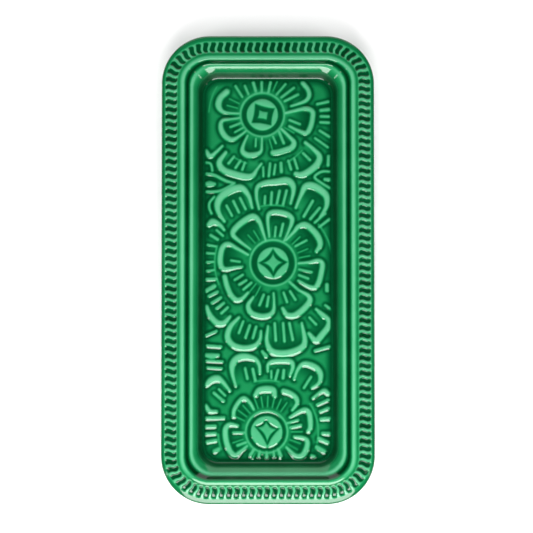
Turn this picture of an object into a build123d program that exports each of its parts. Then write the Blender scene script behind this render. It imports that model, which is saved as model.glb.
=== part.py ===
from build123d import *
import math
import os

os.makedirs("parts", exist_ok=True)

# ---------------------------------------------------------------- driving sizes (mm)
length = 300.0
width = 136.5
height = 20.0
corner_radius = 31.0
glaze = 0.35
floor_level = 7.7
foot_inset = 20.0
foot_width = 4.5
recess_depth = 1.8
foot_bare = 1.2
ridge_pitch = 4.8
ridge_width = 1.3
ridge_sway = 0.45
relief_height = 1.7
rib_height = 1.15

# relief layout grows and shrinks with the floor of the tray
floor_inset = 27.0
across = (width - 2 * floor_inset) / 82.5
along = (length - 2 * floor_inset) / 246.0
rise = (height - floor_level) / 12.3
relief_scale = min(across, along)


def up(z):
    """Height of an upper-side level, measured on the nominal 12.3 mm deep well."""
    return floor_level + (z - 7.7) * rise


lip_level = up(15.0)

# (inset from the outer edge, level) of the glazed surface, foot to lip
OUTSIDE = [
    (foot_inset - 0.35, foot_bare),
    (foot_inset - 1.4, 3.0),
    (foot_inset - 3.4, 6.5),
    (foot_inset - 5.8, up(9.8)),
    (foot_inset - 8.4, up(11.9)),
    (8.0, up(13.0)),
    (4.0, up(13.3)),
    (1.4, up(13.5)),
    (0.3, up(14.1)),
    (0.0, lip_level),
]
# lip to floor, with the cells between the ridges sunk
INSIDE = [
    (0.3, up(16.0)),
    (1.1, up(16.9)),
    (2.3, up(17.4)),
    (2.8, up(17.1)),
    (6.3, up(17.9)),
    (10.0, up(18.4)),
    (10.5, up(19.05)),
    (11.6, up(19.1)),
    (12.8, up(19.65)),
    (14.1, up(20.0)),
    (15.2, up(19.5)),
    (16.4, up(18.3)),
    (17.6, up(16.9)),
    (18.6, up(16.25)),
    (19.8, up(16.1)),
    (20.9, up(15.3)),
    (22.2, up(13.2)),
    (23.6, up(10.6)),
    (25.0, up(8.6)),
    (27.0, up(7.7)),
]
RIDGE_TOP = [(1.8, up(17.2)), (5.8, up(18.5)), (10.9, up(19.2))]


def radius_at(inset):
    """Corner radius: concentric down to the roll, then closing more slowly."""
    if inset <= 15.0:
        return corner_radius - inset
    return corner_radius - 15.0 - (inset - 15.0) * 0.42


def thinned(points, depth):
    """The same run of (inset, level) points moved inwards, square to the surface."""
    moved = []
    for i, (d, z) in enumerate(points):
        before = points[max(i - 1, 0)]
        after = points[min(i + 1, len(points) - 1)]
        run = after[0] - before[0]
        climb = after[1] - before[1]
        size = math.hypot(run, climb)
        moved.append((d + depth * climb / size, z - depth * run / size))
    return moved


def section(inset, level):
    """Outline of the tray at one inset: four straight sides and four corner arcs, in order."""
    r = radius_at(inset)
    a = width / 2 - inset - r
    b = length / 2 - inset - r
    with BuildSketch(Plane.XY.offset(level)) as outline:
        with BuildLine():
            Line((a + r, -b), (a + r, b))
            CenterArc((a, b), r, 0, 90)
            Line((a, b + r), (-a, b + r))
            CenterArc((-a, b), r, 90, 90)
            Line((-a - r, b), (-a - r, -b))
            CenterArc((-a, -b), r, 180, 90)
            Line((-a, -b - r), (a, -b - r))
            CenterArc((a, -b), r, 270, 90)
        make_face()
    return outline.sketch


def stacked(points):
    """Solid through the outlines of a run of (inset, level) points."""
    with BuildPart() as stack:
        for inset, level in points:
            add(section(inset, level))
        loft(ruled=True)
    return stack.part


# ---------------------------------------------------------------- ribbons
def ribbon(points, grow, curved=True):
    """Outline of a flat ribbon along (x, y, width) points, made wider by grow."""
    left = []
    right = []
    for i, (x, y, w) in enumerate(points):
        x0, y0, _ = points[max(i - 1, 0)]
        x1, y1, _ = points[min(i + 1, len(points) - 1)]
        size = math.hypot(x1 - x0, y1 - y0)
        tx = (x1 - x0) / size
        ty = (y1 - y0) / size
        half = w / 2 + grow
        push = 0.0
        if i == 0:
            push = -grow
        if i == len(points) - 1:
            push = grow
        left.append((x + tx * push - ty * half, y + ty * push + tx * half))
        right.append((x + tx * push + ty * half, y + ty * push - tx * half))
    with BuildSketch() as strip:
        with BuildLine():
            if not curved:
                Polyline(*left)
                Polyline(*right[::-1])
            else:
                Spline(*left)
                Spline(*right[::-1])
            Line(left[-1], right[-1])
            Line(right[0], left[0])
        make_face()
    return strip.sketch


# ---------------------------------------------------------------- flower relief
# every point is (angle in degrees, distance from the flower centre, ribbon width)
FLOWERS = [(-3.6, 100.1), (3.3, 4.2), (-0.8, -104.4)]

PETALS = [
    [
        [(147, 27.5, 4), (158, 29.3, 4), (168, 29, 4), (175, 26, 2.6), (177, 21, 1.6), (177, 15, 1.4)],
        [(188, 15, 1.4), (188, 21, 1.6), (189, 26.5, 2.4), (199, 28.2, 3.4), (211, 27.6, 3.6),
         (220, 25, 3), (223, 20, 1.8), (225, 15, 1.4)],
        [(235, 16.5, 1.4), (238, 23, 2), (242, 27, 3.2), (251, 27.8, 3.8), (261, 26, 3.2),
         (268, 23.5, 2), (269, 19, 1.3), (269, 15, 1.3)],
        [(323, 15.5, 1.8), (321, 22, 2.2), (319, 27, 3.2), (312, 28.5, 3.8), (302, 27.2, 3.8),
         (292, 26.3, 3.8), (286, 25.6, 3.6)],
        [(4, 15, 1.8), (7, 21, 2.2), (8, 28, 2.8), (4, 32.4, 3.2), (355, 32.5, 3.2), (344, 32, 3.2),
         (337, 30.4, 3), (336, 25, 2.2), (337, 19, 1.6)],
        [(38, 33.4, 3), (29, 33.8, 3), (22, 32.6, 2.8), (18, 29.3, 2.4), (17, 24, 1.8), (17, 19.5, 1.4)],
        [(213, 43.4, 2.6), (218.5, 43, 3.2), (219, 38.5, 2), (218, 32.8, 1.5)],
        [(226, 34, 2.2), (228, 41.6, 3.6), (235, 43.6, 4.2), (244, 42.6, 4.4), (255, 41.6, 4.2),
         (261, 39.8, 3.4), (264.5, 35.5, 1.8), (269, 31.7, 1.5)],
        [(327, 33.2, 2.2), (326, 39.7, 2.6), (324, 45.6, 3.6), (318, 47.8, 4.2), (309.5, 47.5, 4.2),
         (303, 46.4, 4), (299.5, 44, 3)],
    ],
    [
        [(98, 17, 1.4), (97, 28, 2.2), (93.5, 32.2, 3), (84, 33, 3.4), (73, 32.6, 3.4), (66, 30.4, 3),
         (64, 23.5, 1.8), (63, 15.8, 1.4)],
        [(108, 15, 1.4), (108, 21, 2), (108.5, 28.3, 3), (113, 32.6, 3.8), (124, 33, 4), (138, 33, 3.8),
         (145, 31.4, 3), (147, 25.4, 2.2), (149, 17, 1.4)],
        [(162, 17, 1.8), (158, 25.4, 2.4), (157, 31.4, 2.8), (163, 34, 3.4), (174, 34.2, 3.6),
         (183, 33.6, 3.4), (187.5, 31, 3), (187, 25, 2), (187, 20, 1.5)],
        [(196, 32.4, 3.2), (207, 33.2, 3.4), (217, 34, 3.4), (225, 33.6, 3.4), (229, 30.4, 2.6),
         (230, 25, 1.6)],
        [(240, 25.5, 1.6), (239.5, 31.5, 2.8), (246, 35, 3.6), (256, 35.4, 3.8), (265, 34, 3.4),
         (270.5, 30.7, 2.4), (271.5, 25, 1.5), (271, 19.5, 1.3)],
        [(282, 30, 2.2), (285, 34.5, 3.4), (292, 36.4, 3.8), (302, 35.8, 4), (313.5, 34.2, 3.6),
         (317, 31, 2.8), (314, 25, 1.6)],
        [(359, 16.5, 1.6), (1, 23.5, 2), (3, 29, 2.6), (359, 31.8, 3.2), (348, 31.8, 3.4),
         (337, 32, 3.4), (329.5, 31.2, 3), (326.5, 27, 2.2), (325, 20, 1.5)],
        [(60, 16.8, 1.4), (56, 24, 2.2), (55, 28.6, 3), (50, 32.2, 3.8), (41, 33.2, 4), (30, 33.6, 4),
         (21, 32.6, 3.4), (15, 29, 2.2)],
        [(104.5, 36, 1.5), (104, 44, 2), (101.5, 50, 2.8), (96, 51.8, 3.4), (88, 52.4, 4),
         (80.5, 54, 4.6), (76, 52, 4), (74, 47.5, 2.6), (73.5, 40, 1.5)],
        [(110.7, 38, 1.6), (110, 46, 2.8), (112.5, 52.2, 4.2), (118, 54, 4.6), (127, 54.4, 4.6),
         (133, 52.4, 4.2), (137, 48, 3), (139.5, 41.3, 1.8)],
        [(67.5, 38.5, 1.6), (67.5, 47.5, 2.6), (67, 53.6, 4), (63, 56, 4.6), (56.5, 56.2, 4.6),
         (51, 55, 4.2), (46.5, 50, 2.8), (44, 42, 1.6)],
        [(149, 48, 3.4), (145.5, 47, 4), (144.5, 42, 2.8), (146, 38, 1.6)],
        [(213.5, 51.4, 2.6), (220, 52.8, 3.4), (227, 52.8, 4), (230.7, 50, 3.6), (231.3, 44.3, 1.8)],
        [(238, 41.5, 1.8), (236.3, 49.5, 3.2), (238.5, 56, 3.8), (244, 58.8, 3.8), (251, 58, 3.8),
         (257.5, 54.8, 3.4), (260.3, 50, 2.2), (260, 44.6, 1.5)],
        [(265.5, 41, 1.5), (265.5, 50.5, 2.6), (269.5, 57, 4), (278, 58.8, 4.4), (287, 58, 4.2),
         (292, 54.6, 3.4), (295.5, 43, 1.6)],
        [(313, 40.8, 1.8), (314.3, 50.6, 3.2), (311.5, 54, 3.8), (305, 55.8, 4), (299, 57, 4),
         (297, 51, 2.2)],
    ],
    [
        [(107, 24.6, 3), (100, 27, 4), (90, 27.4, 4.4), (81, 27, 4), (77, 23.5, 2.6)],
        [(155, 23.5, 2.4), (146, 25.2, 2.6), (133, 26.2, 2.8), (124, 26, 2.8), (120, 21.5, 2.2),
         (120, 16.5, 1.6)],
        [(67, 28.3, 3.6), (58, 29, 3.4), (49, 28.8, 3.2), (43, 26.6, 2.6), (40, 21.5, 1.6)],
        [(32, 17.5, 1.6), (32, 23.5, 2.2), (30, 28.4, 3), (24, 29.8, 3.4), (15, 29, 3.4), (6, 28.2, 3),
         (1, 26.8, 2.6)],
        [(350, 18, 1.6), (351, 23.5, 2.2), (347, 26.8, 3), (336, 27.7, 3.6), (326, 27.2, 3.6),
         (320.5, 24, 3), (322, 16, 1.6)],
        [(168, 19, 1.6), (168.5, 24, 2.6), (175, 26.4, 3.4), (186, 26.6, 3.6), (198, 26.6, 3.6),
         (209, 26.5, 3.6), (216.5, 25, 3.2), (217, 21, 2.2), (216, 15.5, 1.5)],
        [(96.5, 37.6, 1.6), (96.5, 43.4, 2.2), (99.5, 47.4, 3.2), (106, 50.2, 4.2), (112, 50.8, 4.4),
         (117, 48.4, 4), (120.7, 43, 2.6), (124, 35.3, 1.6)],
        [(89, 38.8, 1.4), (88.8, 43, 2), (85, 45.2, 2.8), (77, 46.6, 2.8), (71, 47.6, 3.2),
         (68, 45, 2.6), (67.4, 38.8, 1.6)],
        [(62.4, 38, 1.6), (63.3, 45, 2.2), (61.5, 49.5, 3.2), (56.5, 51.4, 3.8), (51, 52, 3.8),
         (46.5, 50.4, 3.4), (43, 46.2, 2.4), (44, 40.4, 1.5)],
        [(142, 49, 3), (137, 48.6, 4.2), (132.8, 46.6, 4.4), (131.5, 42.6, 3), (132, 35.2, 1.6)],
        [(157, 42.6, 2.6), (160, 39, 3), (158, 34.8, 2)],
        [(36, 36.6, 1.6), (36.3, 42, 2), (35.4, 45.6, 2.8), (31.8, 46.4, 3)],
    ],
]

# straight ribs: (angle, distance, angle, distance, width)
RIBS = [
    [
        (201, 15.4, 201, 22, 1.6), (214, 15.3, 212.5, 21, 1.3), (255, 16, 258, 21, 1.2),
        (314.5, 15.4, 307, 23, 1.8), (296, 15.7, 295.5, 20.5, 1.2), (349, 18, 346, 25, 1.6),
        (42.5, 16.7, 40.7, 27, 1.7), (31.5, 17, 29.7, 26.6, 1.8), (55, 16, 53, 25, 1.4),
        (75, 15.2, 76, 22, 1.7), (91.5, 14.8, 91, 22.2, 1.7), (105.5, 16, 105.6, 21.8, 2),
        (124, 16, 121, 22, 1.5), (138, 17.5, 133, 25.5, 1.6), (236, 32.8, 235.3, 38.3, 1.7),
        (244.5, 33, 243.3, 38.5, 1.7), (250, 33, 250, 38, 1.5), (279, 32, 276, 40, 1.6),
        (271, 34, 271, 40, 1.3), (284.6, 33.4, 281, 39.4, 1.4), (291, 33.6, 288.4, 39, 2),
        (299.5, 34.2, 297.6, 40, 1.6), (306, 35, 303, 41.6, 1.6), (316.6, 36.4, 316.4, 42.4, 1.7),
        (11, 36.2, 11.4, 43.4, 1.8), (4.4, 38, 4.6, 43.4, 2.2), (358.5, 38, 358.5, 43, 1.8),
        (352.7, 38, 353.3, 43.6, 1.8), (344.5, 38.6, 341.8, 45.8, 1.7), (336, 37.4, 333.6, 47.2, 1.5),
        (327.9, 50.6, 322.5, 53.6, 2),
    ],
    [
        (86, 17, 85.6, 23.3, 1.4), (75, 18, 75.6, 26, 1.7), (178, 21.5, 176.6, 27, 1.5),
        (201.5, 21, 203.8, 27, 1.6), (213, 20.6, 212.6, 25.8, 1.7), (222.5, 19, 222, 25.6, 1.7),
        (253.6, 21.4, 252.3, 28.6, 1.7), (262.5, 22, 262, 28.2, 1.7), (289.6, 20.4, 289.7, 26.8, 1.6),
        (301, 21.4, 301.3, 27.8, 1.6), (311, 16.2, 313.4, 24.6, 1.8), (346, 17.4, 346.5, 25.6, 1.5),
        (335, 18.6, 336, 24.8, 1.6), (36.6, 18, 34, 26, 1.5), (98, 38.6, 96.8, 43.4, 1.6),
        (92, 37.8, 91, 45.6, 1.7), (86.3, 38.4, 84.8, 46.8, 1.7), (80.2, 38.2, 79.4, 47.6, 1.7),
        (117, 39, 116.9, 47, 1.6), (124, 39.4, 122.7, 47.4, 1.7), (131, 40.4, 129, 47.6, 1.6),
        (56.5, 36, 57.3, 47.6, 1.8), (49.6, 37.2, 49.8, 46.5, 1.8), (44, 37.6, 43.5, 46.5, 1.6),
        (37.8, 38, 37.8, 46, 1.7), (157, 38.8, 156, 44, 1.9), (151.5, 36.8, 149.8, 42, 1.6),
        (164, 38.4, 164.5, 43.6, 1.5), (171, 38.4, 171.5, 43, 1.5), (179, 38.4, 179.4, 42.6, 1.5),
        (187, 38.4, 187, 42.8, 1.5), (196, 38, 194, 44, 2), (201.6, 40.6, 202.6, 46.4, 2.6),
        (207.5, 40.4, 207.4, 46.6, 1.8), (213.5, 40.4, 213.3, 47, 1.8), (219.2, 41, 218.9, 46.8, 1.8),
        (224.5, 41, 224.3, 46.4, 1.8), (243, 42.4, 244, 50.2, 1.6), (249.6, 43, 249.8, 51.2, 1.8),
        (255.2, 42.6, 255, 50, 1.8), (271.6, 39, 272, 50, 1.7), (279.5, 39.4, 278.3, 51, 1.7),
        (285.2, 40.3, 284.4, 51, 1.8), (312.6, 43, 312.4, 48, 1.6), (303.7, 42.4, 305, 48.4, 1.6),
        (321, 43.4, 321.4, 48, 1.6), (333, 39, 338, 37.5, 2.4),
    ],
    [
        (23, 14, 20.6, 21.6, 1.6), (10, 15.6, 11, 22.4, 1.9), (182, 14.2, 181.3, 21.4, 1.6),
        (207, 15, 205, 20.6, 1.8), (234, 13.6, 235, 18.4, 2.1), (251, 12.9, 252, 16.6, 1.8),
        (270, 12.9, 270, 16.4, 1.8), (289, 12.9, 287, 16.4, 1.8), (304, 13.2, 300.5, 17.8, 2.3),
        (110, 36.2, 108.8, 43, 1.7), (102.5, 33.8, 102.5, 41.2, 1.9), (80.4, 34, 79.5, 40.2, 1.7),
        (73, 36, 74.3, 41, 1.9), (85, 34.6, 85.6, 39.2, 1.3), (49.6, 37, 51, 45.2, 1.7),
        (144.6, 34, 143.7, 42, 2), (139, 35.4, 138.4, 41, 1.5), (162, 29, 167.3, 39.6, 2.2),
        (174, 33.4, 175, 38.8, 2.4), (182, 33, 182, 38.8, 2.2), (189.6, 33.2, 189.8, 38.6, 2.4),
        (200, 33, 200.5, 35.6, 2.8), (28, 36.8, 27.4, 44.6, 1.8), (20.6, 36.8, 20.9, 42.4, 2),
        (13, 35.8, 12, 41, 2.4), (358.4, 36, 358.4, 40, 2.3), (352.8, 33.8, 350.2, 39.6, 2.5),
        (343, 33.8, 341.3, 38.8, 2.8),
    ],
]

# eye of each flower: ring distance, four tips of the sunken star, how hollow its sides
# are, width of the sunken line and how much faster it eats the tips
EYES = [
    (14.2, [(27, 9.3), (123, 9), (217, 9), (310, 9.4)], 0.9, 3.2, 1.6),
    (14.8, [(3, 9.8), (90, 9.8), (180, 9.8), (272, 9.8)], 0.82, 2.4, 1.2),
    (13.4, [(14, 9.2), (93, 8.8), (155, 9.2), (273, 9.8)], 0.82, 1.8, 1.2),
]


def spot(flower, angle, reach):
    """Plan position of a point given about one flower."""
    cx, cy = FLOWERS[flower]
    a = math.radians(angle)
    return (cx + reach * math.cos(a)) * across, (cy + reach * math.sin(a)) * along


def eye_point(flower, angle, reach):
    """Plan position about one flower's centre, which keeps the eye round."""
    x, y = spot(flower, 0, 0)
    a = math.radians(angle)
    return x + reach * math.cos(a), y + reach * math.sin(a)


def star(flower, line, shrink):
    """Four-pointed figure with hollow sides, the sunken line and a coat's depth inside its edge."""
    ring, tips, hollow, _, bite = EYES[flower]
    with BuildSketch() as figure:
        with BuildLine():
            for i in range(4):
                a0, r0 = tips[i]
                a1, r1 = tips[(i + 1) % 4]
                if a1 < a0:
                    a1 += 360
                straight = math.cos(math.radians(a1 - a0) / 2)
                tip0 = (r0 - line * bite) * relief_scale - shrink * bite
                tip1 = (r1 - line * bite) * relief_scale - shrink * bite
                side = (hollow * (r0 + r1) / 2 * straight - line) * relief_scale - shrink
                side = max(side, 0.58 * (tip0 + tip1) / 2 * straight)
                ThreePointArc(
                    eye_point(flower, a0, tip0),
                    eye_point(flower, (a0 + a1) / 2, side),
                    eye_point(flower, a1, tip1),
                )
        make_face()
    return figure.sketch


def eye_sketch(flower, grow):
    """Raised disc with the star sunk in it, and the star's raised middle."""
    with BuildSketch() as eye:
        with Locations(spot(flower, 0, 0)):
            Circle(9.9 * relief_scale + grow)
        add(star(flower, 0.0, grow), mode=Mode.SUBTRACT)
        add(star(flower, EYES[flower][3], -grow))
    return eye.sketch


def petal_sketch(grow):
    with BuildSketch() as rims:
        for flower in range(3):
            for petal in PETALS[flower]:
                path = [spot(flower, a, r) + (w * relief_scale,) for a, r, w in petal]
                add(ribbon(path, grow))
    return rims.sketch


def rib_sketch(grow):
    with BuildSketch() as bars:
        for flower in range(3):
            for a0, r0, a1, r1, w in RIBS[flower]:
                wide = (w * relief_scale,)
                add(ribbon([spot(flower, a0, r0) + wide, spot(flower, a1, r1) + wide], grow, False))
            with Locations(spot(flower, 0, 0)):
                Circle(EYES[flower][0] * relief_scale + 0.75 + grow)
            with Locations(spot(flower, 0, 0)):
                Circle(EYES[flower][0] * relief_scale - 0.75 - grow, mode=Mode.SUBTRACT)
    return bars.sketch


def relief(drop, grow):
    """All raised work of the floor, standing a little way into it."""
    base = floor_level - glaze - 1.0
    with BuildPart() as work:
        with BuildSketch(Plane.XY.offset(base)):
            add(petal_sketch(grow))
        extrude(amount=floor_level + relief_height - drop - base)
        with BuildSketch(Plane.XY.offset(base)):
            add(rib_sketch(grow))
        extrude(amount=floor_level + rib_height - drop - base)
        for flower in range(3):
            with BuildSketch(Plane.XY.offset(base)):
                add(eye_sketch(flower, grow))
            extrude(amount=floor_level + relief_height - 0.2 - drop - base)
    return work.part


# ---------------------------------------------------------------- ridges of the flange
def rim_point(run, inset):
    """Point of the flange at a run along the band, and the way outwards there."""
    r = corner_radius - 6.3
    a = width / 2 - corner_radius
    b = length / 2 - corner_radius
    legs = [2 * b, r * math.pi / 2, 2 * a, r * math.pi / 2] * 2
    corners = [(a, b), (-a, b), (-a, -b), (a, -b)]
    turn = 0
    while run > legs[turn]:
        run -= legs[turn]
        turn += 1
    side = turn // 2
    angle = side * math.pi / 2
    cx, cy = corners[side]
    if turn % 2:
        angle += run / r
        ox, oy = cx, cy
    else:
        left = legs[turn] - run
        ox = cx + math.sin(angle) * left
        oy = cy - math.cos(angle) * left
    reach = corner_radius - inset
    nx = math.cos(angle)
    ny = math.sin(angle)
    return ox + nx * reach, oy + ny * reach, nx, ny


band_run = 4 * (width / 2 + length / 2 - 2 * corner_radius) + 2 * math.pi * (corner_radius - 6.3)
ridge_count = round(band_run / ridge_pitch)


def ridge_solid(drop, grow):
    """One ridge lying along -x from the outer edge, swaying in plan."""
    path = []
    for i in range(4):
        u = i / 3
        sway = ridge_sway * math.sin(2.3 * math.pi * u - 0.3)
        path.append((-2.2 - 8.2 * u, -sway, ridge_width))
    base = up(16.2) - 1.0
    top = [(-d, z - drop) for d, z in RIDGE_TOP]
    with BuildPart() as bar:
        with BuildSketch(Plane.XY.offset(base)):
            add(ribbon(path, grow, False))
        extrude(amount=8)
        with BuildSketch(Plane.XZ.offset(-5)):
            with BuildLine():
                Polyline((-1.0, base), *top, (-11.5, top[-1][1]), (-11.5, base), close=True)
            make_face()
        extrude(amount=10, mode=Mode.INTERSECT)
    return bar.part


def ridges(drop, grow):
    """The ridge set down all round the flange, square to the edge."""
    one = ridge_solid(drop, grow)
    row = []
    for number in range(ridge_count):
        x, y, nx, ny = rim_point((number + 0.5) * band_run / ridge_count, 0.0)
        row.append(Location((x, y, 0), (0, 0, math.degrees(math.atan2(ny, nx)))) * one)
    return row


# ---------------------------------------------------------------- clay body
clay_profile = [(foot_inset, 0.0), (foot_inset, foot_bare - glaze)] + thinned(OUTSIDE + INSIDE, glaze)
foot_inner = foot_inset + foot_width
recess = [(foot_inner, -1.0), (foot_inner, 0.6), (foot_inner + 1.6, recess_depth)]
clay_ridges = ridges(glaze, -glaze)
clay_relief = relief(glaze, -glaze)

with BuildPart() as clay_body:
    add(stacked(clay_profile))
    add(clay_ridges)
    add(clay_relief)
    add(stacked(recess), mode=Mode.SUBTRACT)

# ---------------------------------------------------------------- glaze coats
with BuildPart() as base_glaze:
    add(stacked(recess[1:]))
    add(
        stacked([(foot_inner + 0.01, 0.55), (foot_inner + 1.6 + glaze, recess_depth - glaze)]),
        mode=Mode.SUBTRACT,
    )

with BuildPart() as keep_out:
    add(stacked([(24.0, -1.0), (12.0, lip_level)]))

with BuildPart() as coat:
    add(stacked([(foot_inset, 0.0), (foot_inset, foot_bare - glaze)] + OUTSIDE + INSIDE))
    add(stacked(clay_profile), mode=Mode.SUBTRACT)

with BuildPart() as lower_side:
    with BuildSketch(Plane.XY.offset(-1.0)):
        Rectangle(width + 20, length + 20)
    extrude(amount=lip_level + 1.0)
    add(keep_out.part, mode=Mode.SUBTRACT)

with BuildPart() as outer_glaze:
    add(coat.part)
    add(lower_side.part, mode=Mode.INTERSECT)

with BuildPart() as well_glaze:
    add(coat.part)
    add(lower_side.part, mode=Mode.SUBTRACT)
    add(ridges(0.0, 0.0))
    add(relief(0.0, 0.0))
    add(clay_body.part, mode=Mode.SUBTRACT)

clay_body.part.label = "clay_body"
well_glaze.part.label = "well_glaze"
outer_glaze.part.label = "outer_glaze"
base_glaze.part.label = "base_glaze"
export_step(clay_body.part, "parts/clay_body.step")
export_step(well_glaze.part, "parts/well_glaze.step")
export_step(outer_glaze.part, "parts/outer_glaze.step")
export_step(base_glaze.part, "parts/base_glaze.step")
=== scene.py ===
import math

import bpy
import numpy as np
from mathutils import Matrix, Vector


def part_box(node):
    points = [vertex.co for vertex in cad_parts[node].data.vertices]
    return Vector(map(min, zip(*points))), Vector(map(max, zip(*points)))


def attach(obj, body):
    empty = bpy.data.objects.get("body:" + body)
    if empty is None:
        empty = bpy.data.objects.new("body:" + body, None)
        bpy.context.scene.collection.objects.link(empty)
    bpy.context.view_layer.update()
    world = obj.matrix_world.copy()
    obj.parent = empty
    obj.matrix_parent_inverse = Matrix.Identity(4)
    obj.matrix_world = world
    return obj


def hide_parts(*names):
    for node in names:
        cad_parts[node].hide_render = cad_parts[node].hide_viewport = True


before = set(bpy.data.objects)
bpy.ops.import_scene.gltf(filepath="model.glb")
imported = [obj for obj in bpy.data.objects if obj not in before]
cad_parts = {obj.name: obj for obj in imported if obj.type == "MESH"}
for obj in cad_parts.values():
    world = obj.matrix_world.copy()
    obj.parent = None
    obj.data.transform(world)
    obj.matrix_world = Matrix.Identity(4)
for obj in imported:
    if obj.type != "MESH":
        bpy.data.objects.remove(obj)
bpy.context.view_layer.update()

MM = 0.001

# ---------------------------------------------------------------- sizes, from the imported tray
low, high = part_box("clay_body")
glaze_low, glaze_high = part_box("well_glaze")
WIDTH = (glaze_high.x - glaze_low.x) / MM
LENGTH = (glaze_high.y - glaze_low.y) / MM
TOP = glaze_high.z / MM
CORNER = 31.0
FLOOR = 7.7
LISTED_DEPTH = 16.3
RISE = (TOP - FLOOR) / LISTED_DEPTH


def up(z):
    """Real level for a listed one: the lists are drawn for a well LISTED_DEPTH deep."""
    return np.where(np.asarray(z) > FLOOR, FLOOR + (np.asarray(z) - FLOOR) * RISE, z)


# ---------------------------------------------------------------- layout of the floor, in mm
# every point is (angle in degrees, distance from the flower centre, ribbon width)
FLOWERS = [(-3.6, 100.1), (3.3, 4.2), (-0.8, -104.4)]

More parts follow.
